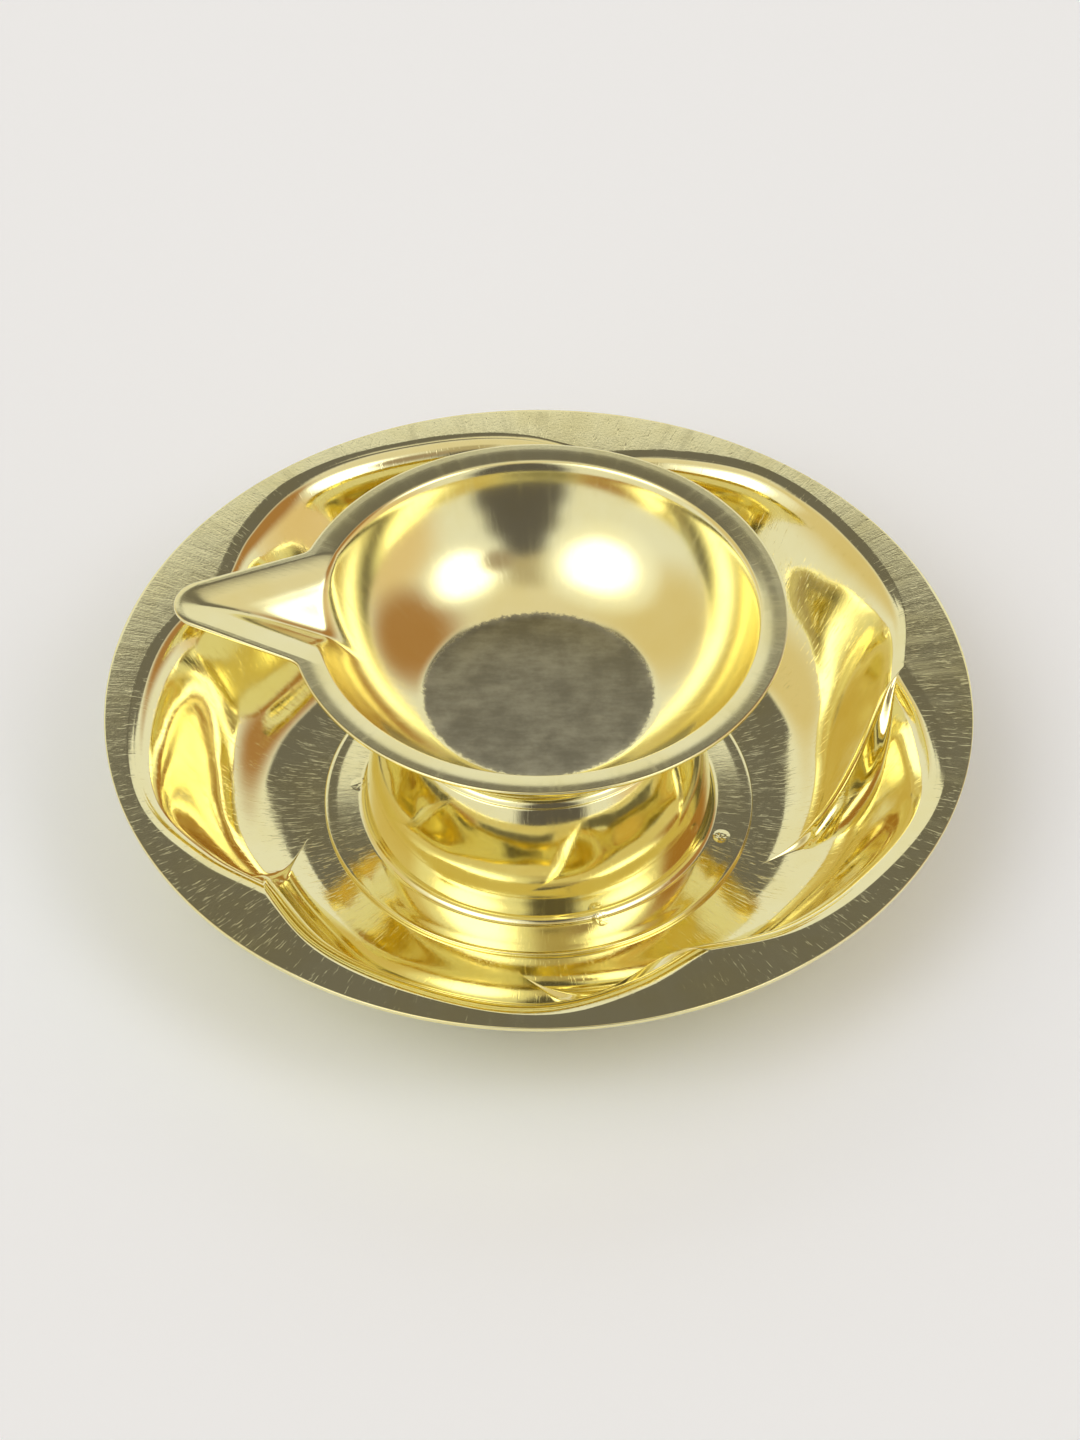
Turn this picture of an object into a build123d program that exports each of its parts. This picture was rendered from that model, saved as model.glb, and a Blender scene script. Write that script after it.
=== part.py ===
"""Brass diya: an oil bowl with a wick spout, on a spun stand, fixed to a swirl-pressed plate.

Millimetres, +Z up. The origin is the centre of the plate's underside, and the spout points
along -X. The plate and the bowl are pressed sheet whose upper faces are height formulas, so
both are built ring by ring from splines over those formulas.
"""
from build123d import *
import os
from math import asin, cos, hypot, radians, sin, sqrt, tan

# Driving dimensions
SHEET = 0.5                     # thickness of every sheet brass part
PLATE_RADIUS = 50.0
PLATE_HEIGHT = 16.4             # table to the top of the plate's rim
STAND_TOP = 17.2
BOWL_RIM_HEIGHT = 30.9          # table to the top of the bowl's rim
BOWL_RADIUS = 28.3
SOLDER_THICKNESS = 0.15
SOLDER_RADIUS = 11.5
BOWL_FLOOR_HEIGHT = STAND_TOP + SOLDER_THICKNESS + SHEET

# Plate: five scoops that turn clockwise and run into each other at sharp ridges
LOBES = 5
LOBE_ANGLE = 360.0 / LOBES
FIRST_CUSP_ANGLE = 7.5          # where the first ridge leaves the rim
CUSP_RADIUS = 42.3
RIDGE_END_RADIUS = 27.6         # where a ridge dies out on the flat floor
RIDGE_TWIST = (1.38, 0.045)     # degrees per mm, and per mm squared, in from the cusp
FLAT_FLOOR_RADIUS = 26.5        # inside this the floor is plain
PLATE_DEPTH = PLATE_HEIGHT - SHEET
# Outer edge of a scoop: (degrees clockwise from the cusp, radius)
SCOOP_EDGE = [(-10, 41.9), (0, 42.0), (11, 44.6), (25, 47.1), (43, 46.2),
              (59, 44.9), (72, 42.0), (84, 40.6), (112, 38.4), (150, 37.5)]
SCOOP_FOOT_POWER = 3.5          # higher keeps the foot of a scoop's wall flat for longer
SCOOP_LIP_POWER = 2.4           # higher rolls the top of the wall over into the rim sooner
SCOOP_LIP_REACH = 0.4           # how far the rolled lip runs past the outer edge
RIDGE_BACK_SLOPE = tan(radians(58))
RIDGE_BLEND = 1.3
VALLEY_BLEND = 1.5
RIDGE_FULL_HEIGHT = 2.0         # a lower ridge has its blends scaled down

# Bowl: flat floor, arched wall, rolled rim, and a V trough that tapers to a round tip
BOWL_FLOOR_RADIUS = 13.1
BOWL_WALL_RADIUS = 24.7         # the wall is an arc up to here, then straight
BOWL_ARC_RADIUS = 19.6
BOWL_FLOOR_SLOPE = radians(20.4)
BOWL_LIP_BLEND = 0.9
BOWL_FLOOR_BLEND = 0.4
SPOUT_ANGLE = 177.4
SPOUT_REACH = 41.5
SPOUT_TIP_RADIUS = 3.7
SPOUT_HALF_ANGLE = radians(24)
SPOUT_ROOT_BLEND = 0.8
RIM_FLAT = 0.8                  # level width inside the cut edge
RIM_DISH = 1.7                  # next width, over which the rim starts to slope inward
RIM_DISH_SLOPE = tan(radians(7))
RIM_ROLL = 3.4                  # radius of the roll from the dished rim into the trough's wall
TROUGH_WALL_SLOPE = tan(radians(42))
TROUGH_VALLEY_ROUND = 0.7
TROUGH_BLEND = 2.6
TROUGH_BLEND_REACH = 4.0        # from the rim's flat to where the trough blends fully

# Stand: a flange on the plate, a nearly upright wall that leans in, and a closed top
FLANGE_RADIUS = 25.0
FLANGE_LIP = 1.3                # level part of the flange, which sits on the plate
FLANGE_RISE = 0.12              # how much the rest of the flange rises to the wall
STAND_WALL_RADIUS = 20.0
STAND_FILLET = 1.1
STAND_ARC_RADIUS = 27.0
STAND_ARC_START = 0.8           # above the flange fillet's centre plane, where the lean begins
STAND_SHOULDER = 2.0

# Sampling of the pressed faces
RING_POINTS_PER_LOBE = 44
RIDGE_CROWDING = 0.72           # 0 spaces the points evenly, near 1 crowds them at the ridges
NORMAL_STEP = 0.02              # mm and degrees, for the slope of a face


def clamp(value, low, high):
    return max(low, min(high, value))


def soft_min(a, b, blend):
    """The lower of two heights, with the corner between them rounded over `blend`."""
    if blend < 1e-6:
        return min(a, b)
    overlap = max(blend - abs(a - b), 0.0) / blend
    return min(a, b) - overlap * overlap * blend / 4


def soft_max(a, b, blend):
    return -soft_min(-a, -b, blend)


def through(knots, x):
    """A smooth curve through the (x, value) knots, level beyond both ends."""
    x = clamp(x, knots[0][0], knots[-1][0])
    i = 0
    while i < len(knots) - 2 and x > knots[i + 1][0]:
        i += 1
    (x0, v0), (x1, v1) = knots[i], knots[i + 1]

    def slope(j):
        before = knots[max(j - 1, 0)]
        after = knots[min(j + 1, len(knots) - 1)]
        return (after[1] - before[1]) / (after[0] - before[0])

    width = x1 - x0
    t = (x - x0) / width
    start = (2 * t**3 - 3 * t**2 + 1) * v0 + (t**3 - 2 * t**2 + t) * width * slope(i)
    end = (3 * t**2 - 2 * t**3) * v1 + (t**3 - t**2) * width * slope(i + 1)
    return start + end


def scoop_wall(turn, radius):
    """Height of one scoop's wall over the floor: a slow foot, a steep middle and a rolled lip."""
    width = through(SCOOP_EDGE, turn) + SCOOP_LIP_REACH - FLAT_FLOOR_RADIUS
    across = clamp((radius - FLAT_FLOOR_RADIUS) / width, 0.0, 1.0)
    return PLATE_DEPTH * (1 - (1 - across**SCOOP_FOOT_POWER) ** SCOOP_LIP_POWER)


def ridge_turn(radius):
    """Degrees that a ridge has turned clockwise from its cusp, where it crosses a radius."""
    inward = CUSP_RADIUS - max(radius, RIDGE_END_RADIUS)
    return inward * (RIDGE_TWIST[0] + RIDGE_TWIST[1] * abs(inward))


def plate_face(radius, past_ridge):
    """Point on the plate's upper face, from the radius and the degrees clockwise of a ridge."""
    turned = ridge_turn(radius)
    local = past_ridge % LOBE_ANGLE
    turn = turned + local
    crest = scoop_wall(LOBE_ANGLE + turned, radius)
    across_ridge = radius * radians(1) / hypot(1, radius * radians(RIDGE_TWIST[0] * 1.5))
    fall = RIDGE_BACK_SLOPE * across_ridge
    blends = clamp(min(crest, PLATE_DEPTH - crest) / RIDGE_FULL_HEIGHT, 0.0, 1.0)
    scoop = soft_max(scoop_wall(turn, radius), crest - fall * local, VALLEY_BLEND * blends)
    height = soft_min(scoop, scoop_wall(turn + LOBE_ANGLE, radius), RIDGE_BLEND * blends)
    height = soft_min(height, crest + fall * (LOBE_ANGLE - local), RIDGE_BLEND * blends)
    angle = radians(FIRST_CUSP_ANGLE - turned - past_ridge)
    return Vector(radius * cos(angle), radius * sin(angle), SHEET + clamp(height, 0.0, PLATE_DEPTH))


def bowl_wall(radius):
    """Height of the bowl's wall: an arc, then its tangent above the rim's inner edge."""
    arc_centre_r = BOWL_FLOOR_RADIUS - BOWL_ARC_RADIUS * sin(BOWL_FLOOR_SLOPE)
    arc_centre_z = BOWL_FLOOR_HEIGHT + BOWL_ARC_RADIUS * cos(BOWL_FLOOR_SLOPE)
    reach = min(radius, BOWL_WALL_RADIUS) - arc_centre_r
    rise = sqrt(BOWL_ARC_RADIUS**2 - reach**2)
    return arc_centre_z - rise + max(radius - BOWL_WALL_RADIUS, 0.0) * reach / rise


def rolled_rim(inset):
    """Height from the distance inside the cut edge: level, slightly dished, rolled, then straight."""
    dished = clamp(inset - RIM_FLAT, 0.0, RIM_DISH)
    roll_width = RIM_ROLL * (TROUGH_WALL_SLOPE - RIM_DISH_SLOPE)
    past_dish = max(inset - RIM_FLAT - RIM_DISH, 0.0)
    rolled = min(past_dish, roll_width)
    straight = max(past_dish - roll_width, 0.0)
    drop = RIM_DISH_SLOPE * (dished * dished / (2 * RIM_DISH) + rolled) + rolled * rolled / (2 * RIM_ROLL)
    return BOWL_RIM_HEIGHT - drop - TROUGH_WALL_SLOPE * straight


def spout_inset(along, aside):
    """Distance inside the spout's cut edge, from a place relative to its tip's centre."""
    if along * cos(SPOUT_HALF_ANGLE) > aside * sin(SPOUT_HALF_ANGLE):
        return SPOUT_TIP_RADIUS - hypot(along, aside)
    return SPOUT_TIP_RADIUS - along * sin(SPOUT_HALF_ANGLE) - aside * cos(SPOUT_HALF_ANGLE)


def bowl_face(radius, from_axis):
    """Point on the bowl's upper face, from the radius and the degrees from the spout's axis."""
    along = radius * cos(radians(from_axis)) - (SPOUT_REACH - SPOUT_TIP_RADIUS)
    aside = hypot(radius * sin(radians(from_axis)), TROUGH_VALLEY_ROUND)
    height = BOWL_RIM_HEIGHT
    if radius < BOWL_RADIUS - RIM_FLAT:
        height = soft_min(bowl_wall(radius), rolled_rim(BOWL_RADIUS - radius), BOWL_LIP_BLEND)
    if along > -SPOUT_REACH:
        inset = spout_inset(along, aside)
        blend = TROUGH_BLEND * clamp((inset - RIM_FLAT) / TROUGH_BLEND_REACH, 0.0, 1.0)
        height = soft_min(height, rolled_rim(inset), blend)
    height = soft_max(height, BOWL_FLOOR_HEIGHT, BOWL_FLOOR_BLEND)
    angle = radians(SPOUT_ANGLE + from_axis)
    return Vector(radius * cos(angle), radius * sin(angle), height)


def bowl_outline(from_axis):
    """Radius of the bowl's cut edge: a circle, two straight spout sides and a round tip."""
    aside = radians(abs((from_axis + 180) % 360 - 180))
    tip_centre = SPOUT_REACH - SPOUT_TIP_RADIUS
    tip_side = tip_centre * sin(aside)
    if aside < SPOUT_HALF_ANGLE and tip_side < SPOUT_TIP_RADIUS:
        reach = tip_centre * cos(aside) + sqrt(SPOUT_TIP_RADIUS**2 - tip_side**2)
        ahead = reach * cos(aside) - tip_centre
        if ahead * cos(SPOUT_HALF_ANGLE) > reach * sin(aside) * sin(SPOUT_HALF_ANGLE):
            return reach
    facing = cos(aside) * sin(SPOUT_HALF_ANGLE) + sin(aside) * cos(SPOUT_HALF_ANGLE)
    if aside > radians(60):
        return BOWL_RADIUS
    side = (tip_centre * sin(SPOUT_HALF_ANGLE) + SPOUT_TIP_RADIUS) / facing
    return soft_max(BOWL_RADIUS, side, SPOUT_ROOT_BLEND)


def under(face, radius, angle):
    """Point one sheet thickness below an upper face, square to it."""
    point = face(radius, angle)
    outward = face(radius + NORMAL_STEP, angle) - face(radius - NORMAL_STEP, angle)
    around = face(radius, angle - NORMAL_STEP) - face(radius, angle + NORMAL_STEP)
    normal = outward.cross(around)
    if normal.Z < 0:
        normal = normal * -1
    return point - normal.normalized() * SHEET


def ring(points, angles):
    """A closed spline through one ring of points; all rings share their spacing."""
    spacing = [(angle - angles[0]) / 360 for angle in angles] + [1.0]
    return Edge.make_spline(points, periodic=True, parameters=spacing)


def sheet_solid(rings):
    """A closed solid from rings that run out over the top face and back underneath."""
    faces = [Face.make_surface_from_curves(a, b) for a, b in zip(rings, rings[1:])]
    faces.append(Face(Wire([rings[0]])))
    faces.append(Face(Wire([rings[-1]])))
    return Solid(Shell(faces))


def plate():
    angles = []
    for step in range(LOBES * RING_POINTS_PER_LOBE):
        share = step / RING_POINTS_PER_LOBE
        crowd = RIDGE_CROWDING * sin(radians(360 * share)) / radians(360)
        angles.append(LOBE_ANGLE * (share - crowd))
    inner = [FLAT_FLOOR_RADIUS, 27.1, 27.8, 28.5]
    walls = [29.25 + 0.75 * step for step in range(26)]
    radii = inner + walls + [48.6, PLATE_RADIUS]
    top = [ring([plate_face(r, a) for a in angles], angles) for r in radii]
    bottom = [ring([under(plate_face, r, a) for a in angles], angles) for r in radii]
    return sheet_solid(top + bottom[::-1])


def bowl():
    spout_step = 0.8
    spout_steps = 32
    plain_steps = 76
    spout_half = spout_step * spout_steps
    angles = [spout_step * step for step in range(-spout_steps, spout_steps)]
    plain = 360 - 2 * spout_half
    angles += [spout_half + plain * step / plain_steps for step in range(plain_steps)]
    circles = [12.5, 12.9, 13.3, 14.0] + [15 + step for step in range(8)]
    circles += [22.8, 23.5, 24.1, 24.6, 25.0]
    shares = [0.12, 0.24, 0.36, 0.48, 0.6, 0.7, 0.79, 0.87, 0.94, 1.0]

    def radii_at(angle):
        last = circles[-1]
        return circles + [last + share * (bowl_outline(angle) - last) for share in shares]

    count = len(circles) + len(shares)
    spread = {angle: radii_at(angle) for angle in angles}
    top = [ring([bowl_face(spread[a][i], a) for a in angles], angles) for i in range(count)]
    bottom = [ring([under(bowl_face, spread[a][i], a) for a in angles], angles) for i in range(count)]
    return sheet_solid(top + bottom[::-1])


def stand_outline(inset):
    """Half profile of the stand's outer skin, or of its inner skin when inset by the sheet."""
    lip_top = 2 * SHEET - inset
    flange_top = lip_top + FLANGE_RISE
    fillet_centre = (STAND_WALL_RADIUS + STAND_FILLET, 2 * SHEET + FLANGE_RISE + STAND_FILLET)
    fillet = STAND_FILLET + inset
    arc_centre = (STAND_WALL_RADIUS - STAND_ARC_RADIUS, fillet_centre[1] + STAND_ARC_START)
    arc = STAND_ARC_RADIUS - inset
    shoulder = STAND_SHOULDER - inset
    shoulder_z = STAND_TOP - STAND_SHOULDER
    gap = STAND_ARC_RADIUS - STAND_SHOULDER
    lean = asin((shoulder_z - arc_centre[1]) / gap)
    shoulder_centre = (arc_centre[0] + gap * cos(lean), shoulder_z)
    wall = STAND_WALL_RADIUS - inset

    def on(centre, radius, angle):
        return (centre[0] + radius * cos(angle), centre[1] + radius * sin(angle))

    top_turn = radians(90)
    lip = (FLANGE_RADIUS - FLANGE_LIP, lip_top)
    foot = (fillet_centre[0], flange_top)
    wall_foot = (wall, fillet_centre[1])
    lean_start = (wall, arc_centre[1])
    lean_end = on(arc_centre, arc, lean)
    shoulder_top = on(shoulder_centre, shoulder, top_turn)
    return [
        Line((FLANGE_RADIUS, lip_top), lip),
        Line(lip, foot),
        ThreePointArc(foot, on(fillet_centre, fillet, radians(225)), wall_foot),
        Line(wall_foot, lean_start),
        ThreePointArc(lean_start, on(arc_centre, arc, lean / 2), lean_end),
        ThreePointArc(lean_end, on(shoulder_centre, shoulder, (lean + top_turn) / 2), shoulder_top),
        Line(shoulder_top, (0, shoulder_top[1])),
    ]


def stand():
    outer = stand_outline(0.0)
    inner = stand_outline(SHEET)
    edge = Line((FLANGE_RADIUS, SHEET), (FLANGE_RADIUS, 2 * SHEET))
    axis = Line((0, STAND_TOP - SHEET), (0, STAND_TOP))
    profile = make_face(Curve() + outer + inner + [edge, axis])
    return revolve(Plane.XZ * profile, Axis.Z)


def solder_joint():
    disc = Cylinder(SOLDER_RADIUS, SOLDER_THICKNESS, align=(Align.CENTER, Align.CENTER, Align.MIN))
    return Pos(0, 0, STAND_TOP) * disc


os.makedirs("parts", exist_ok=True)
for name, build in (("plate", plate), ("stand", stand), ("solder_joint", solder_joint), ("bowl", bowl)):
    solid = build()
    solid.label = name
    export_step(solid, f"parts/{name}.step")
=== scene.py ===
"""A polished brass diya: swirl-pressed drip plate, spun stand and spouted oil bowl, in a soft studio.

The shown skins follow the same height formulas as the CAD part, on a much finer mesh.
Lengths in the shape formulas are millimetres; MM turns them into Blender's metres.
"""
from math import cos, pi, radians, sin, sqrt, tan

import bpy
import numpy as np
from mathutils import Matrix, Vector, noise


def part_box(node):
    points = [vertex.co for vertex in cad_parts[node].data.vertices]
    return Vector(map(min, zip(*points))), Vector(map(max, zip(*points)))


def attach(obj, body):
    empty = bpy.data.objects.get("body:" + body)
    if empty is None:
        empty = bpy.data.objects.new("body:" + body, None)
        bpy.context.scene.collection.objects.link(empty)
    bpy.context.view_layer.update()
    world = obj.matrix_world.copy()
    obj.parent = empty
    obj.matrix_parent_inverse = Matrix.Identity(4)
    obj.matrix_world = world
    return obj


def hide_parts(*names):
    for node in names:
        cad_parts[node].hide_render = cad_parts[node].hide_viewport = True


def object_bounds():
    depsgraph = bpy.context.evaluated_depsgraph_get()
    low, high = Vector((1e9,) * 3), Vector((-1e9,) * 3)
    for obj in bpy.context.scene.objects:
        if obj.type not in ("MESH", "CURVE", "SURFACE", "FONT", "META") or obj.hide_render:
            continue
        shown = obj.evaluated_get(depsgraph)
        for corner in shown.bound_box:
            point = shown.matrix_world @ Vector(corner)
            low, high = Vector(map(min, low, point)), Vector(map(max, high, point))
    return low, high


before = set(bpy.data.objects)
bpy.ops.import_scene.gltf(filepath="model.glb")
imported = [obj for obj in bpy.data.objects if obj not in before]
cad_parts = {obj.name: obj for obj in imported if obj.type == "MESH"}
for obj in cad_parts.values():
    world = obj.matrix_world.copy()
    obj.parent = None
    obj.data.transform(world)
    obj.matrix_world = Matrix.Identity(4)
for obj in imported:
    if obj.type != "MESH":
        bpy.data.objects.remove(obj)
cad_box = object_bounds()

MM = 0.001

# ---------------------------------------------------------------- sizes
# The plate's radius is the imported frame's.
plate_low, plate_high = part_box("plate")
RIM_CLEARANCE = 0.004
PLATE_RADIUS = min(plate_high[0], plate_high[1], -plate_low[0], -plate_low[1]) / MM - RIM_CLEARANCE
PLATE_HEIGHT = 16.4
SHEET = 0.5
STAND_TOP = 17.2
SOLDER = 0.15
BOWL_RIM_HEIGHT = 30.9
BOWL_FLOOR_HEIGHT = STAND_TOP + SOLDER + SHEET
BOWL_RADIUS = 28.3

# Plate scoops. SCOOP_EDGE is (degrees past the scoop's start, radius of its upper edge).
LOBES = 5
LOBE_ANGLE = 360.0 / LOBES
FIRST_CUSP_ANGLE = 7.5
CUSP_RADIUS = 42.3
RIDGE_END_RADIUS = 27.6
RIDGE_TWIST = (1.38, 0.045)
RIDGE_LEAN = radians(RIDGE_TWIST[0] * 1.5)
FLAT_FLOOR_RADIUS = 26.5
PLATE_DEPTH = PLATE_HEIGHT - SHEET
SCOOP_EDGE = [(-10, 41.9), (0, 42.0), (11, 44.6), (25, 47.1), (43, 46.2),
              (59, 44.9), (72, 42.0), (84, 40.6), (112, 38.4), (150, 37.5)]
SCOOP_FOOT_POWER = 3.5
SCOOP_LIP_POWER = 2.4
SCOOP_LIP_REACH = 0.4
RIDGE_BACK_SLOPE = tan(radians(58))
RIDGE_BLEND = 1.3
VALLEY_BLEND = 1.5
RIDGE_FULL_HEIGHT = 2.0
PLATE_LIP_DISH = 0.8
PLATE_LIP_SLOPE = tan(radians(5))
PLATE_LIP_BLEND = 0.3

# Bowl
BOWL_FLOOR_RADIUS = 13.1
BOWL_WALL_RADIUS = 24.7
BOWL_ARC_RADIUS = 19.6
BOWL_FLOOR_SLOPE = radians(20.4)
BOWL_LIP_BLEND = 0.9
BOWL_FLOOR_BLEND = 0.4
SPOUT_ANGLE = 177.4
SPOUT_REACH = 41.5
SPOUT_TIP_RADIUS = 3.7
SPOUT_HALF_ANGLE = radians(24)
SPOUT_ROOT_BLEND = 0.8
RIM_FLAT = 0.8
RIM_DISH = 1.7
RIM_DISH_SLOPE = tan(radians(7))
RIM_ROLL = 3.4
TROUGH_WALL_SLOPE = tan(radians(42))
TROUGH_VALLEY_ROUND = 0.7
TROUGH_BLEND = 2.6
TROUGH_BLEND_REACH = 4.0

# Stand
FLANGE_RADIUS = 25.0
STAND_WALL_RADIUS = 20.0
STAND_FILLET = 1.1
FLANGE_LIP = 1.3
FLANGE_RISE = 0.12
STAND_ARC_RADIUS = 27.0
STAND_ARC_START = 0.8
STAND_SHOULDER = 2.0
STAND_TOP_FLAT = 8.0
SPOUT_SIDE_REACH = radians(60)

# Rounding of cut edges, and the slight unevenness of the pressed scoops as (seed, scale, depth)
EDGE_ROUND = 0.14
EDGE_ROUND_ROOM = EDGE_ROUND * 1.5
EDGE_TURNS = np.radians([0, 30, 60, 90])
RIPPLES = [(1, 0.17, 0.055), (2, 0.45, 0.012)]
RIPPLE_SEED_STEP = Vector((17.3, 5.1, 29.7))
RIPPLE_FOOT_FADE = 2.5
RIPPLE_LIP_FADE = 2.0

# Mesh density: columns run outwards and rings run around
PLATE_LOBE_COLUMNS = 120
RIDGE_CROWDING = 0.85
PLATE_FLOOR_RINGS = [4.0, 12.0, 20.0, 24.0, 25.6]
PLATE_WALL_RINGS = 96
PLATE_WALL_SPACING = 1.25
PLATE_RIM_RINGS = 30
PLATE_RIM_SPACING = 1.3
PLATE_UNDER_STEP = 3
EDGE_SEARCH_START = 44.0
EDGE_SEARCH_STEPS = 60
BOWL_SPOUT_COLUMNS = np.arange(-40, 40, 0.5)
BOWL_ROUND_COLUMNS = np.linspace(40, 320, 190, endpoint=False)
BOWL_FLOOR_RINGS = [4.0, 8.0, 11.0, 12.3]
BOWL_BEND_RINGS = np.linspace(12.6, 13.6, 9)
BOWL_WALL_RINGS = np.linspace(14.0, 23.0, 34)
BOWL_OUTER_START = 23.2
BOWL_OUTER_RINGS = 58
BOWL_UNDER_STEP = 2
STAND_COLUMNS = 360
FLANGE_RINGS = 16
FLANGE_EDGE_GAP = 0.5
FLANGE_FOOT_GAP = 0.1
CORNER_STEPS = 3
FILLET_STEPS = 14
STAND_WALL_STEPS = 40


# ---------------------------------------------------------------- height formulas
def soft_min(a, b, blend):
    blend = np.maximum(blend, 1e-6)
    overlap = np.maximum(blend - np.abs(a - b), 0.0) / blend
    return np.minimum(a, b) - overlap * overlap * blend / 4


def soft_max(a, b, blend):
    return -soft_min(-a, -b, blend)


def smooth_curve(knots):
    """A smooth curve through (x, value) knots, as a function of an array."""
    xs = np.array([k[0] for k in knots], float)
    vs = np.array([k[1] for k in knots], float)
    before = np.maximum(np.arange(len(xs)) - 1, 0)
    after = np.minimum(np.arange(len(xs)) + 1, len(xs) - 1)
    slopes = (vs[after] - vs[before]) / (xs[after] - xs[before])

    def at(x):
        x = np.clip(x, xs[0], xs[-1])
        i = np.clip(np.searchsorted(xs, x, side="right") - 1, 0, len(xs) - 2)
        width = xs[i + 1] - xs[i]
        t = (x - xs[i]) / width
        start = (2 * t**3 - 3 * t**2 + 1) * vs[i] + (t**3 - 2 * t**2 + t) * width * slopes[i]
        end = (3 * t**2 - 2 * t**3) * vs[i + 1] + (t**3 - t**2) * width * slopes[i + 1]
        return start + end

    return at


scoop_edge = smooth_curve(SCOOP_EDGE)


def scoop_wall(turn, radius):
    width = scoop_edge(turn) + SCOOP_LIP_REACH - FLAT_FLOOR_RADIUS
    across = np.clip((radius - FLAT_FLOOR_RADIUS) / width, 0.0, 1.0)
    return PLATE_DEPTH * (1 - (1 - across**SCOOP_FOOT_POWER) ** SCOOP_LIP_POWER)


def ridge_turn(radius):
    inward = CUSP_RADIUS - np.maximum(radius, RIDGE_END_RADIUS)
    return inward * (RIDGE_TWIST[0] + RIDGE_TWIST[1] * np.abs(inward))


def plate_height(radius, past_ridge):
    turned = ridge_turn(radius)
    turn = turned + past_ridge
    crest = scoop_wall(LOBE_ANGLE + turned, radius)
    across_ridge = radius * radians(1) / np.hypot(1, radius * RIDGE_LEAN)
    fall = RIDGE_BACK_SLOPE * across_ridge
    blends = np.clip(np.minimum(crest, PLATE_DEPTH - crest) / RIDGE_FULL_HEIGHT, 0.0, 1.0)
    scoop = soft_max(scoop_wall(turn, radius), crest - fall * past_ridge, VALLEY_BLEND * blends)
    height = soft_min(scoop, scoop_wall(turn + LOBE_ANGLE, radius), RIDGE_BLEND * blends)
    height = soft_min(height, crest + fall * (LOBE_ANGLE - past_ridge), RIDGE_BLEND * blends)
    return SHEET + np.clip(height, 0.0, PLATE_DEPTH)


def bowl_wall(radius):
    centre_r = BOWL_FLOOR_RADIUS - BOWL_ARC_RADIUS * sin(BOWL_FLOOR_SLOPE)
    centre_z = BOWL_FLOOR_HEIGHT + BOWL_ARC_RADIUS * cos(BOWL_FLOOR_SLOPE)
    reach = np.minimum(radius, BOWL_WALL_RADIUS) - centre_r
    rise = np.sqrt(BOWL_ARC_RADIUS**2 - reach**2)
    return centre_z - rise + np.maximum(radius - BOWL_WALL_RADIUS, 0.0) * reach / rise


def rolled_rim(inset):
    """Height from the distance inside the cut edge: level, slightly dished, rolled, then straight."""
    dished = np.clip(inset - RIM_FLAT, 0.0, RIM_DISH)
    roll_width = RIM_ROLL * (TROUGH_WALL_SLOPE - RIM_DISH_SLOPE)
    past_dish = np.maximum(inset - RIM_FLAT - RIM_DISH, 0.0)
    rolled = np.minimum(past_dish, roll_width)
    straight = np.maximum(past_dish - roll_width, 0.0)
    drop = RIM_DISH_SLOPE * (dished * dished / (2 * RIM_DISH) + rolled)
    drop += rolled * rolled / (2 * RIM_ROLL)
    return BOWL_RIM_HEIGHT - drop - TROUGH_WALL_SLOPE * straight


def spout_inset(along, aside):
    """Distance inside the spout's cut edge, from a place relative to its tip's centre."""
    beside_tip = SPOUT_TIP_RADIUS - along * sin(SPOUT_HALF_ANGLE) - aside * cos(SPOUT_HALF_ANGLE)
    past_tip = along * cos(SPOUT_HALF_ANGLE) > aside * sin(SPOUT_HALF_ANGLE)
    return np.where(past_tip, SPOUT_TIP_RADIUS - np.hypot(along, aside), beside_tip)


def bowl_height(radius, from_axis):
    along = radius * np.cos(np.radians(from_axis)) - (SPOUT_REACH - SPOUT_TIP_RADIUS)
    aside = np.hypot(radius * np.sin(np.radians(from_axis)), TROUGH_VALLEY_ROUND)
    round_bowl = soft_min(bowl_wall(radius), rolled_rim(BOWL_RADIUS - radius), BOWL_LIP_BLEND)
    round_bowl = np.where(radius < BOWL_RADIUS - RIM_FLAT, round_bowl, BOWL_RIM_HEIGHT)
    inset = spout_inset(along, aside)
    blend = TROUGH_BLEND * np.clip((inset - RIM_FLAT) / TROUGH_BLEND_REACH, 0.0, 1.0)
    spouted = soft_min(round_bowl, rolled_rim(inset), blend)
    height = np.where(along > -SPOUT_REACH, spouted, round_bowl)
    return soft_max(height, BOWL_FLOOR_HEIGHT, BOWL_FLOOR_BLEND)


def bowl_outline(from_axis):
    """Radius of the bowl's cut edge, for one angle."""
    aside = radians(abs((from_axis + 180) % 360 - 180))
    tip_centre = SPOUT_REACH - SPOUT_TIP_RADIUS
    tip_side = tip_centre * sin(aside)
    if aside < SPOUT_HALF_ANGLE and tip_side < SPOUT_TIP_RADIUS:
        reach = tip_centre * cos(aside) + sqrt(SPOUT_TIP_RADIUS**2 - tip_side**2)
        ahead = reach * cos(aside) - tip_centre
        if ahead * cos(SPOUT_HALF_ANGLE) > reach * sin(aside) * sin(SPOUT_HALF_ANGLE):
            return reach
    if aside > SPOUT_SIDE_REACH:
        return BOWL_RADIUS
    facing = cos(aside) * sin(SPOUT_HALF_ANGLE) + sin(aside) * cos(SPOUT_HALF_ANGLE)
    side = (tip_centre * sin(SPOUT_HALF_ANGLE) + SPOUT_TIP_RADIUS) / facing
    return float(soft_max(BOWL_RADIUS, side, SPOUT_ROOT_BLEND))


# ---------------------------------------------------------------- meshes
def ripples(points, seed, scale, depth):
    """Slight unevenness of pressed sheet, in millimetres, at each point."""
    offset = RIPPLE_SEED_STEP * seed
    return np.array([noise.noise(Vector(p) * scale + offset) for p in points]) * depth


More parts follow.
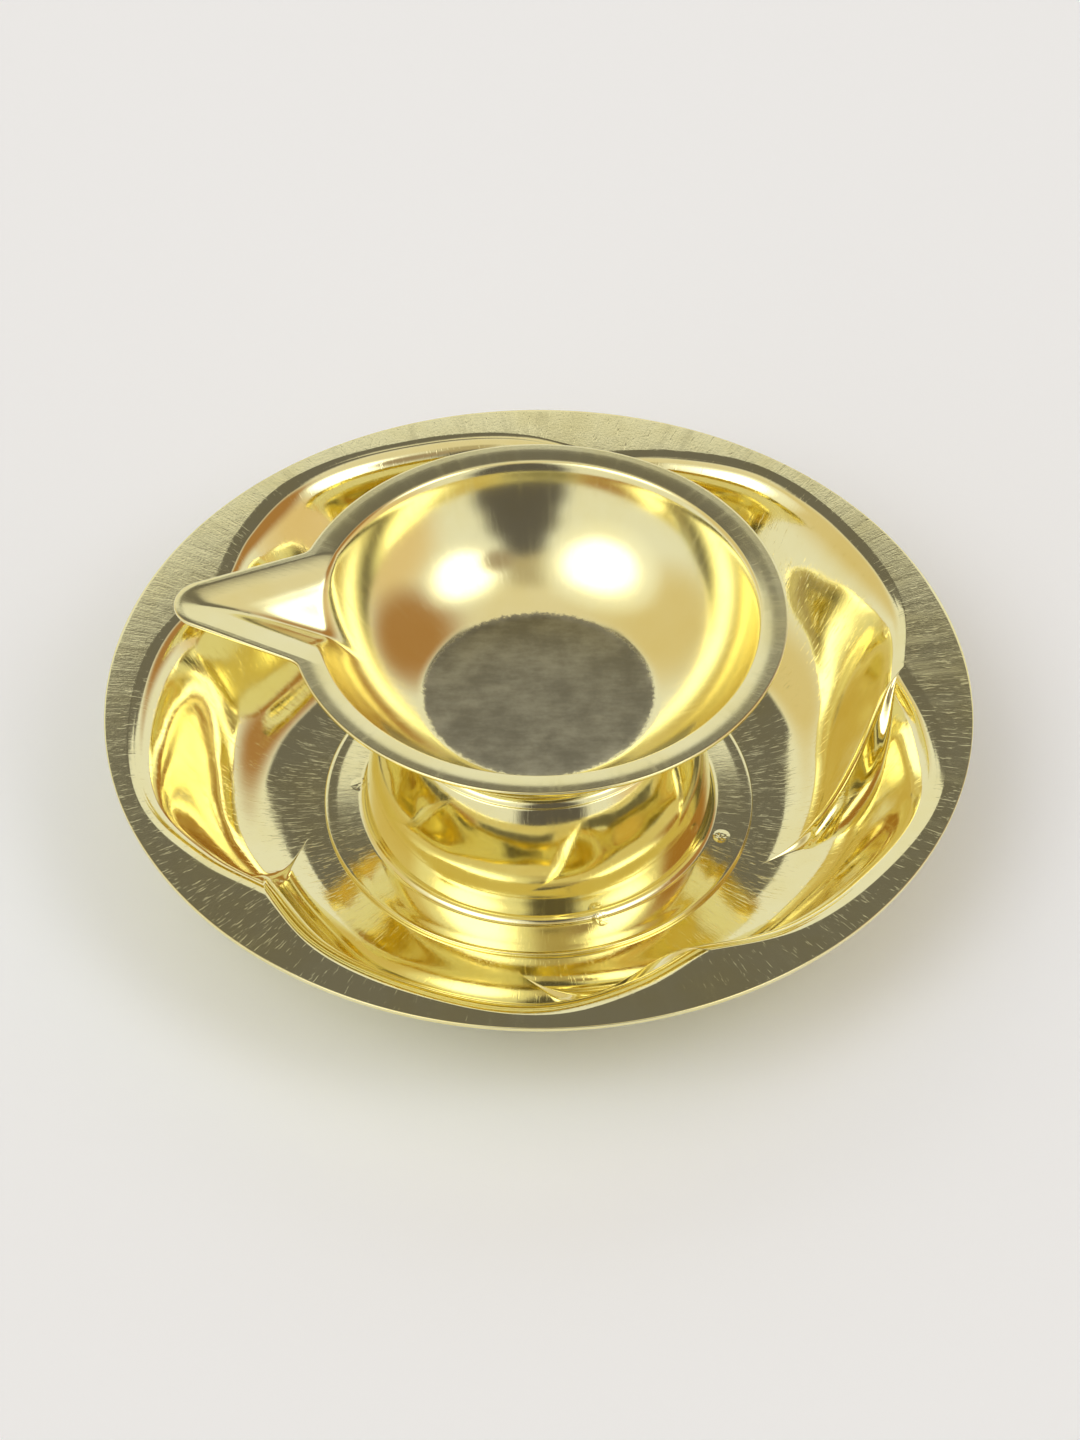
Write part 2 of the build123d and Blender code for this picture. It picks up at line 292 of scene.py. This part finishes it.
def grid_faces(rows, columns):
    """Quads between rows of points that each close on themselves."""
    i, j = np.meshgrid(np.arange(rows - 1), np.arange(columns), indexing="ij")
    here = i * columns + j
    beside = i * columns + (j + 1) % columns
    return np.stack([here, beside, beside + columns, here + columns], axis=-1).reshape(-1, 4)


def make_mesh(name, points, faces):
    """A smooth-shaded object from points in millimetres."""
    mesh = bpy.data.meshes.new(name)
    mesh.from_pydata([tuple(p * MM) for p in points], [], [tuple(int(v) for v in f) for f in faces])
    mesh.shade_smooth()
    mesh.update()
    piece = bpy.data.objects.new(name, mesh)
    bpy.context.scene.collection.objects.link(piece)
    return piece


def ring_normals(rings):
    """Upward unit normals of a grid of rings of points, each ring closed on itself."""
    around = np.roll(rings, -1, axis=1) - np.roll(rings, 1, axis=1)
    outward = np.gradient(rings, axis=0)
    normals = np.cross(outward, around)
    normals /= np.linalg.norm(normals, axis=-1, keepdims=True)
    normals[normals[..., 2].mean(axis=-1) < 0] *= -1
    return normals


def rounded_edge(ring, inner_ring, normals):
    """Rows of points around the cut edge of a sheet, from its upper face to its underside."""
    outward = ring - inner_ring
    outward[..., 2] = 0
    outward /= np.linalg.norm(outward, axis=-1, keepdims=True)
    under = ring - normals * SHEET
    rows = []
    for turn in EDGE_TURNS:
        rows.append(ring + outward * EDGE_ROUND * (sin(turn) - 1) - normals * EDGE_ROUND * (1 - cos(turn)))
    for turn in EDGE_TURNS:
        rows.append(under + outward * EDGE_ROUND * (cos(turn) - 1) + normals * EDGE_ROUND * (1 - sin(turn)))
    return rows


def sheet_skin(name, rings, under_step):
    """A closed sheet: the rings are its upper face, and the underside is square below them."""
    normals = ring_normals(rings)
    edge = rounded_edge(rings[-1], rings[-2], normals[-1])
    under_rows = list(range(len(rings) - 2, -1, -under_step))
    if under_rows[-1] != 0:
        under_rows.append(0)
    lower = [rings[i] - normals[i] * SHEET for i in under_rows]
    for row in lower:
        row[:, 2] = np.maximum(row[:, 2], 0.0)
    clear_of_edge = np.linalg.norm(rings[-1] - rings[:-1], axis=-1).min(axis=-1) > EDGE_ROUND_ROOM
    rows = [ring for ring, clear in zip(rings[:-1], clear_of_edge) if clear] + edge + lower
    columns = rings.shape[1]
    faces = [tuple(f) for f in grid_faces(len(rows), columns)]
    points = np.concatenate(rows)
    centre_top = len(points)
    centre_bottom = centre_top + 1
    points = np.concatenate([points, [rings[0].mean(axis=0), lower[-1].mean(axis=0)]])
    last = (len(rows) - 1) * columns
    for j in range(columns):
        k = (j + 1) % columns
        faces.append((centre_top, k, j))
        faces.append((centre_bottom, last + j, last + k))
    return make_mesh(name, points, faces)


def scoop_edge_radius(past):
    """Radius of the scoops' upper edge, for angles past a ridge, found by stepping halfway to it."""
    edge = np.full(len(past), EDGE_SEARCH_START)
    for _ in range(EDGE_SEARCH_STEPS):
        edge += 0.5 * (scoop_edge(ridge_turn(edge) + past) - edge)
    return edge


def plate_skin():
    share = np.arange(PLATE_LOBE_COLUMNS) / PLATE_LOBE_COLUMNS
    past = LOBE_ANGLE * (share - RIDGE_CROWDING * np.sin(2 * pi * share) / (2 * pi))
    edge = scoop_edge_radius(past)
    wall_shares = 1 - (1 - np.linspace(0, 1, PLATE_WALL_RINGS)) ** PLATE_WALL_SPACING
    rim_shares = np.linspace(0, 1, PLATE_RIM_RINGS)[1:] ** PLATE_RIM_SPACING
    radii = [np.full(len(past), r) for r in PLATE_FLOOR_RINGS]
    radii += [FLAT_FLOOR_RADIUS + f * (edge - FLAT_FLOOR_RADIUS) for f in wall_shares]
    radii += [edge + f * (PLATE_RADIUS - edge) for f in rim_shares]
    radii = np.array(radii)
    heights = plate_height(radii, past[None, :])
    inside = np.clip(PLATE_LIP_DISH - (radii - edge), 0.0, PLATE_LIP_DISH + 1.0)
    lip = PLATE_HEIGHT - PLATE_LIP_SLOPE * inside * inside / (2 * PLATE_LIP_DISH)
    heights = soft_min(heights, lip, PLATE_LIP_BLEND * np.clip(inside / PLATE_LIP_DISH, 0.0, 1.0))
    rings = []
    for k in range(LOBES):
        angle = np.radians(FIRST_CUSP_ANGLE - ridge_turn(radii) - past - LOBE_ANGLE * k)
        rings.append(np.stack([radii * np.cos(angle), radii * np.sin(angle), heights], axis=-1))
    rings = np.concatenate(rings, axis=1)
    from_foot = np.clip((rings[..., 2] - SHEET) / RIPPLE_FOOT_FADE, 0, 1)
    from_lip = np.clip((PLATE_HEIGHT - rings[..., 2]) / RIPPLE_LIP_FADE, 0, 1)
    wave = sum(ripples(rings.reshape(-1, 3), *ripple) for ripple in RIPPLES)
    rings[..., 2] += wave.reshape(rings.shape[:2]) * from_foot * from_lip
    return sheet_skin("plate_skin", rings, PLATE_UNDER_STEP)


def bowl_skin():
    angles = np.concatenate([BOWL_SPOUT_COLUMNS, BOWL_ROUND_COLUMNS])
    outline = np.array([bowl_outline(a) for a in angles])
    inner_rings = np.concatenate([BOWL_FLOOR_RINGS, BOWL_BEND_RINGS, BOWL_WALL_RINGS])
    outer_shares = np.linspace(0, 1, BOWL_OUTER_RINGS)
    radii = [np.full(len(angles), r) for r in inner_rings]
    radii += [BOWL_OUTER_START + f * (outline - BOWL_OUTER_START) for f in outer_shares]
    radii = np.array(radii)
    heights = bowl_height(radii, angles[None, :])
    turn = np.radians(SPOUT_ANGLE + angles)
    rings = np.stack([radii * np.cos(turn), radii * np.sin(turn), heights], axis=-1)
    return sheet_skin("bowl_skin", rings[:, ::-1], BOWL_UNDER_STEP)


def stand_profile():
    """Outer skin of the stand, as (radius, height) from the flange's edge to the axis."""
    points = []

    def arc(centre, radius, start, end, steps):
        for step in range(steps + 1):
            turn = start + (end - start) * step / steps
            points.append((centre[0] + radius * cos(turn), centre[1] + radius * sin(turn)))

    top = 2 * SHEET
    wall_foot = STAND_WALL_RADIUS + STAND_FILLET
    lip_start = FLANGE_RADIUS - FLANGE_LIP
    arc((FLANGE_RADIUS - EDGE_ROUND, SHEET + EDGE_ROUND), EDGE_ROUND, radians(-90), 0, CORNER_STEPS)
    arc((FLANGE_RADIUS - EDGE_ROUND, top - EDGE_ROUND), EDGE_ROUND, 0, radians(90), CORNER_STEPS)
    for r in np.linspace(FLANGE_RADIUS - FLANGE_EDGE_GAP, wall_foot + FLANGE_FOOT_GAP, FLANGE_RINGS):
        share = float(np.clip((lip_start - r) / (lip_start - wall_foot), 0, 1))
        points.append((r, top + FLANGE_RISE * share))
    foot = top + FLANGE_RISE + STAND_FILLET
    arc((wall_foot, foot), STAND_FILLET, radians(270), radians(180), FILLET_STEPS)
    centre = (STAND_WALL_RADIUS - STAND_ARC_RADIUS, foot + STAND_ARC_START)
    gap = STAND_ARC_RADIUS - STAND_SHOULDER
    shoulder_z = STAND_TOP - STAND_SHOULDER
    lean = np.arcsin((shoulder_z - centre[1]) / gap)
    arc(centre, STAND_ARC_RADIUS, 0, lean, STAND_WALL_STEPS)
    arc((centre[0] + gap * cos(lean), shoulder_z), STAND_SHOULDER, lean, radians(90), FILLET_STEPS)
    points.append((STAND_TOP_FLAT, STAND_TOP))
    points.append((0.0, STAND_TOP))
    return points


def stand_skin():
    profile = stand_profile()
    angles = np.radians(np.arange(STAND_COLUMNS) * 360 / STAND_COLUMNS)
    rows = []
    for radius, height in profile[:-1]:
        level = np.full(STAND_COLUMNS, height)
        rows.append(np.stack([radius * np.cos(angles), radius * np.sin(angles), level], axis=-1))
    points = np.concatenate(rows + [np.array([[0, 0, profile[-1][1]]])])
    faces = [tuple(f) for f in grid_faces(len(rows), STAND_COLUMNS)]
    last = (len(rows) - 1) * STAND_COLUMNS
    for j in range(STAND_COLUMNS):
        faces.append((last + j, last + (j + 1) % STAND_COLUMNS, len(points) - 1))
    return make_mesh("stand_skin", points, faces)


# ---------------------------------------------------------------- materials
class Nodes:
    """Short calls for building a node tree."""

    def __init__(self, tree):
        self.tree = tree
        tree.nodes.clear()

    def add(self, kind, **inputs):
        node = self.tree.nodes.new(kind)
        for key, value in inputs.items():
            self.set(node.inputs[key.replace("_", " ")], value)
        return node

    def set(self, socket, value):
        if isinstance(value, bpy.types.NodeSocket):
            self.tree.links.new(value, socket)
        else:
            socket.default_value = value

    def math(self, operation, *values):
        node = self.tree.nodes.new("ShaderNodeMath")
        node.operation = operation
        for socket, value in zip(node.inputs, values):
            self.set(socket, value)
        return node.outputs[0]

    def plus(self, a, b):
        return self.math("ADD", a, b)

    def minus(self, a, b):
        return self.math("SUBTRACT", a, b)

    def times(self, a, b):
        return self.math("MULTIPLY", a, b)

    def vector(self, operation, a, b):
        node = self.tree.nodes.new("ShaderNodeVectorMath")
        node.operation = operation
        self.set(node.inputs[0], a)
        self.set(node.inputs[1], b)
        return node.outputs["Value" if operation == "DOT_PRODUCT" else "Vector"]

    def smooth(self, value, low, high):
        """0 at `low` and 1 at `high`, with a soft start and end."""
        node = self.add("ShaderNodeMapRange", Value=value, From_Min=low, From_Max=high)
        node.interpolation_type = "SMOOTHSTEP"
        return node.outputs["Result"]

    def noise(self, where, scale, detail, roughness=0.6):
        node = self.add("ShaderNodeTexNoise", Vector=where, Scale=scale, Detail=detail, Roughness=roughness)
        return node.outputs["Fac"]

    def mix(self, share, a, b):
        node = self.tree.nodes.new("ShaderNodeMix")
        node.data_type = "RGBA"
        self.set(node.inputs[0], share)
        self.set(node.inputs[6], a)
        self.set(node.inputs[7], b)
        return node.outputs[2]


BRASS = (0.90, 0.835, 0.47, 1.0)
BRASS_DEEP = (0.88, 0.795, 0.40, 1.0)
TARNISH = (0.27, 0.25, 0.17, 1.0)
TARNISH_LIGHT = (0.46, 0.43, 0.30, 1.0)

# Hairlines run outwards from the axis: fine across, and stretched along radius and height.
SCRATCH_DEPTH = 0.000004
HAIRLINE_ARC = 0.044
HAIRLINE_STRETCH = 0.12
FINE_SCALE = 3600.0
WIDE_SCALE = 700.0
CLOUD_SCALE = 90.0
GRAIN_SCALE = 3000.0
WIDE_ROUGHENING = 0.07
CLOUD_ROUGHENING = 0.04
CLOUD_TINT_RANGE = (0.35, 0.7)
ROUGHENING_RANGE = (0.5, 0.8)
SCRATCH_RANGE = (0.58, 0.74)

# Heights of each kind of mark, in scratch depths
SCRATCH_HEIGHT = 1.1
FINE_HEIGHT = 0.7
WIDE_HEIGHT = 1.3
GRAIN_HEIGHT = 0.35

# Spot welds on the stand's flange, as (radius in mm, degrees). WELD_RADIUS is in metres and
# WELD_DEPTH is in scratch depths.
WELD_MARKS = [(20.9, -70), (22.2, -17), (21.0, 175)]
WELD_RADIUS = 0.0011
WELD_DEPTH = 22.0
WELD_SCALE = 1500.0

# The bowl's dull floor: the radius and height between which it fades, in metres, and its mottling
TARNISH_EDGE = (0.01345, 0.01295)
TARNISH_RAGGED = 0.0016
TARNISH_HEIGHT = (0.0176, 0.0178)
TARNISH_ROUGHENING = 0.24
TARNISH_DEPTH = 3.0
TARNISH_RANGE = (0.42, 0.98)
RAGGED_SCALE = 1600.0
MOTTLE_SCALE = 260.0
WIPED_SCALE = 1300.0
WIPED_STRETCH = (0.35, 1.0, 1.0)
WIPED_SHARE = 0.35


class Brass:
    """Polished sheet brass: `polish` is its roughness, `brushed` the strength of its hairlines."""

    def __init__(self, name, polish, brushed):
        self.material = bpy.data.materials.new(name)
        self.material.use_nodes = True
        self.nodes = n = Nodes(self.material.node_tree)
        self.where = n.add("ShaderNodeTexCoord").outputs["Object"]
        x, y, self.z = n.add("ShaderNodeSeparateXYZ", Vector=self.where).outputs
        self.radius = n.math("SQRT", n.plus(n.times(x, x), n.times(y, y)))
        along = n.times(n.math("ARCTAN2", y, x), HAIRLINE_ARC)
        outward = n.times(self.radius, HAIRLINE_STRETCH)
        upward = n.times(self.z, HAIRLINE_STRETCH)
        radial = n.add("ShaderNodeCombineXYZ", X=along, Y=outward, Z=upward).outputs[0]
        fine = n.noise(radial, FINE_SCALE, 2.0)
        wide = n.noise(radial, WIDE_SCALE, 3.0)
        cloud = n.noise(self.where, CLOUD_SCALE, 4.0)
        grain = n.noise(self.where, GRAIN_SCALE, 2.0)
        self.colour = n.mix(n.smooth(cloud, *CLOUD_TINT_RANGE), BRASS, BRASS_DEEP)
        self.rough = n.plus(polish, n.times(n.smooth(wide, *ROUGHENING_RANGE), WIDE_ROUGHENING))
        self.rough = n.plus(self.rough, n.times(n.smooth(cloud, *ROUGHENING_RANGE), CLOUD_ROUGHENING))
        scratches = n.times(n.smooth(fine, *SCRATCH_RANGE), SCRATCH_HEIGHT * brushed)
        self.height = n.plus(n.times(fine, FINE_HEIGHT * brushed), n.times(wide, WIDE_HEIGHT * brushed))
        self.height = n.minus(self.height, scratches)
        self.height = n.plus(self.height, n.times(grain, GRAIN_HEIGHT))

    def finish(self):
        n = self.nodes
        bump = n.add("ShaderNodeBump", Strength=1.0, Distance=SCRATCH_DEPTH, Height=self.height)
        shader = n.add("ShaderNodeBsdfPrincipled", Metallic=1.0, Base_Color=self.colour, Roughness=self.rough)
        n.set(shader.inputs["Normal"], bump.outputs["Normal"])
        n.add("ShaderNodeOutputMaterial", Surface=shader.outputs[0])
        return self.material


def plate_brass():
    return Brass("plate_brass", 0.06, 0.9).finish()


def stand_brass():
    metal = Brass("stand_brass", 0.07, 0.5)
    n = metal.nodes
    pitted = n.noise(metal.where, WELD_SCALE, 2.0)
    for radius, degrees in WELD_MARKS:
        turn = radians(degrees)
        centre = Vector((cos(turn) * radius, sin(turn) * radius, 2 * SHEET + FLANGE_RISE)) * MM
        offset = n.vector("SUBTRACT", metal.where, tuple(centre))
        squared = n.vector("DOT_PRODUCT", offset, offset)
        mark = n.smooth(squared, WELD_RADIUS**2, WELD_RADIUS**2 / 6)
        metal.height = n.plus(metal.height, n.times(n.times(mark, pitted), WELD_DEPTH))
    return metal.finish()


def solder_metal():
    return Brass("solder_metal", 0.35, 0.5).finish()


def bowl_brass():
    metal = Brass("bowl_brass", 0.13, 0.3)
    n = metal.nodes
    ragged = n.noise(metal.where, RAGGED_SCALE, 4.0, 0.8)
    reach = n.plus(metal.radius, n.times(n.minus(ragged, 0.5), TARNISH_RAGGED))
    floor = n.times(n.smooth(reach, *TARNISH_EDGE), n.smooth(metal.z, *TARNISH_HEIGHT))
    mottle = n.noise(metal.where, MOTTLE_SCALE, 5.0, 0.62)
    wiped = n.noise(n.vector("MULTIPLY", metal.where, WIPED_STRETCH), WIPED_SCALE, 2.0)
    patchy = n.plus(mottle, n.times(wiped, WIPED_SHARE))
    dull = n.mix(n.smooth(patchy, *TARNISH_RANGE), TARNISH, TARNISH_LIGHT)
    metal.colour = n.mix(floor, metal.colour, dull)
    metal.rough = n.plus(metal.rough, n.times(floor, TARNISH_ROUGHENING))
    metal.height = n.plus(metal.height, n.times(floor, n.times(mottle, TARNISH_DEPTH)))
    return metal.finish()


def pale_floor():
    material = bpy.data.materials.new("floor")
    material.use_nodes = True
    n = Nodes(material.node_tree)
    shader = n.add("ShaderNodeBsdfPrincipled", Base_Color=(0.92, 0.95, 1.0, 1.0), Roughness=0.7)
    n.add("ShaderNodeOutputMaterial", Surface=shader.outputs[0])
    return material


# ---------------------------------------------------------------- pieces
def use(piece, node, material):
    piece.data.materials.append(material)
    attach(piece, "root")
    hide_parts(node)


use(plate_skin(), "plate", plate_brass())
use(bowl_skin(), "bowl", bowl_brass())
use(stand_skin(), "stand", stand_brass())
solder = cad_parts["solder_joint"]
solder.data.materials.clear()
solder.data.materials.append(solder_metal())

# ---------------------------------------------------------------- studio
FLOOR_REACH = 3.0
FLOOR_GAP = 0.00005
FLOOR_CORNERS = [(-1, -1), (1, -1), (1, 1), (-1, 1)]

floor_z = cad_box[0][2] - FLOOR_GAP
floor_points = [(x * FLOOR_REACH, y * FLOOR_REACH, floor_z) for x, y in FLOOR_CORNERS]
floor_mesh = bpy.data.meshes.new("floor")
floor_mesh.from_pydata(floor_points, [], [(0, 1, 2, 3)])
floor = bpy.data.objects.new("floor", floor_mesh)
bpy.context.scene.collection.objects.link(floor)
floor_mesh.materials.append(pale_floor())

# Soft areas of the studio, each laid over those before it:
# azimuth, elevation, radius and softness in degrees, then colour
SURROUND = (0.86, 0.86, 0.86, 1.0)
WALLS = [
    (0, 90, 24, 12, (0.80, 0.73, 0.60, 1.0)),  # warm ceiling
    (286, 38, 26, 12, (0.74, 0.62, 0.38, 1.0)),  # tan, on the left
    (100, 8, 22, 12, (0.80, 0.62, 0.40, 1.0)),  # tan, low on the right
    (66, 38, 22, 9, (0.42, 0.22, 0.09, 1.0)),  # orange-brown, on the right behind
]
LIGHTS = [
    (173, 60, 12, 7, (0.50, 0.43, 0.32, 1.0)),  # the dim gap between the lamps
    (229, 49, 27, 6, (0.98, 0.98, 0.96, 1.0)),  # left lamp's diffuser
    (227, 50, 15, 7, (2.8, 2.8, 2.8, 1.0)),  # left lamp
    (121, 50, 18, 6, (0.98, 0.98, 0.96, 1.0)),  # right lamp's diffuser
    (121, 50, 12, 6, (2.8, 2.8, 2.8, 1.0)),  # right lamp
    (148, 52, 6, 4, (0.38, 0.30, 0.24, 1.0)),  # brown patch beside the right lamp
    (171, 8, 22, 5, (0.12, 0.11, 0.12, 1.0)),  # a dark figure at the camera: legs,
    (171, 27, 17, 5, (0.12, 0.11, 0.12, 1.0)),  # body
    (171, 43, 9, 5, (0.12, 0.11, 0.12, 1.0)),  # and head
]

# The dark upper room behind the lamp, which the flat brass mirrors. Its edges are degrees of elevation and
# its half width is along x. Its lower edge dips in the middle and climbs to the left.
ROOM = (0.165, 0.155, 0.155, 1.0)
ROOM_LOW_EDGE = (42.9, 43.2)
ROOM_TOP_EDGE = (66, 60)
ROOM_HALF_WIDTH = (0.38, 0.30)
ROOM_RISE_REACH = 0.09
ROOM_RISE = 3.0
ROOM_RISE_SLANT = 11.0


def direction(azimuth, elevation):
    """Unit vector towards a place in the studio: azimuth 0 is behind the lamp, 90 its right."""
    a, e = radians(azimuth), radians(elevation)
    return (sin(a) * cos(e), cos(a) * cos(e), sin(e))


def elevations(n, z, edge):
    """Share of a soft step in elevation, from the first angle of `edge` to the second."""
    return n.smooth(z, *(sin(radians(angle)) for angle in edge))


def studio_world():
    world = bpy.data.worlds.new("studio")
    bpy.context.scene.world = world
    world.use_nodes = True
    n = Nodes(world.node_tree)
    ray = n.add("ShaderNodeTexCoord").outputs["Generated"]
    x, y, z = n.add("ShaderNodeSeparateXYZ", Vector=ray).outputs

    def area(under, azimuth, elevation, radius, soft, paint):
        near = n.vector("DOT_PRODUCT", ray, direction(azimuth, elevation))
        share = n.smooth(near, cos(radians(radius + soft)), cos(radians(radius - soft)))
        return n.mix(share, under, paint)

    colour = SURROUND
    for wall in WALLS:
        colour = area(colour, *wall)
    near_middle = n.math("MINIMUM", n.math("ABSOLUTE", x), ROOM_RISE_REACH)
    rise = n.minus(ROOM_RISE, n.times(x, ROOM_RISE_SLANT))
    lifted = n.minus(z, n.times(n.times(near_middle, near_middle), rise))
    upright = n.times(elevations(n, lifted, ROOM_LOW_EDGE), elevations(n, z, ROOM_TOP_EDGE))
    sideways = n.smooth(n.math("ABSOLUTE", x), *ROOM_HALF_WIDTH)
    behind = n.math("GREATER_THAN", y, 0.0)
    colour = n.mix(n.times(upright, n.times(sideways, behind)), colour, ROOM)
    for light in LIGHTS:
        colour = area(colour, *light)
    camera_ray = n.add("ShaderNodeLightPath").outputs["Is Camera Ray"]
    colour = n.mix(camera_ray, colour, (1.0, 1.0, 1.0, 1.0))
    background = n.add("ShaderNodeBackground", Color=colour)
    n.add("ShaderNodeOutputWorld", Surface=background.outputs[0])


studio_world()

# ---------------------------------------------------------------- camera
CAMERA_ELEVATION = radians(45.32)
CAMERA_DISTANCE = 0.700
SENSOR_HEIGHT = 36.0
LENS = 152.075
SHIFT_X = 0.000903
SHIFT_Y = -0.011389
LIGHT_BOUNCES = 16

camera_data = bpy.data.cameras.new("camera")
camera_data.sensor_fit = "VERTICAL"
camera_data.sensor_height = SENSOR_HEIGHT
camera_data.lens = LENS
camera_data.shift_x = SHIFT_X
camera_data.shift_y = SHIFT_Y
camera_data.clip_start = 0.01
camera = bpy.data.objects.new("camera", camera_data)
bpy.context.scene.collection.objects.link(camera)
aim = Vector((0, 0, PLATE_HEIGHT * MM))
camera.location = aim + CAMERA_DISTANCE * Vector((0, -cos(CAMERA_ELEVATION), sin(CAMERA_ELEVATION)))
camera.rotation_euler = (pi / 2 - CAMERA_ELEVATION, 0, 0)
bpy.context.scene.camera = camera
bpy.context.scene.view_settings.view_transform = "Standard"
bpy.context.scene.cycles.max_bounces = LIGHT_BOUNCES
bpy.context.scene.cycles.glossy_bounces = LIGHT_BOUNCES
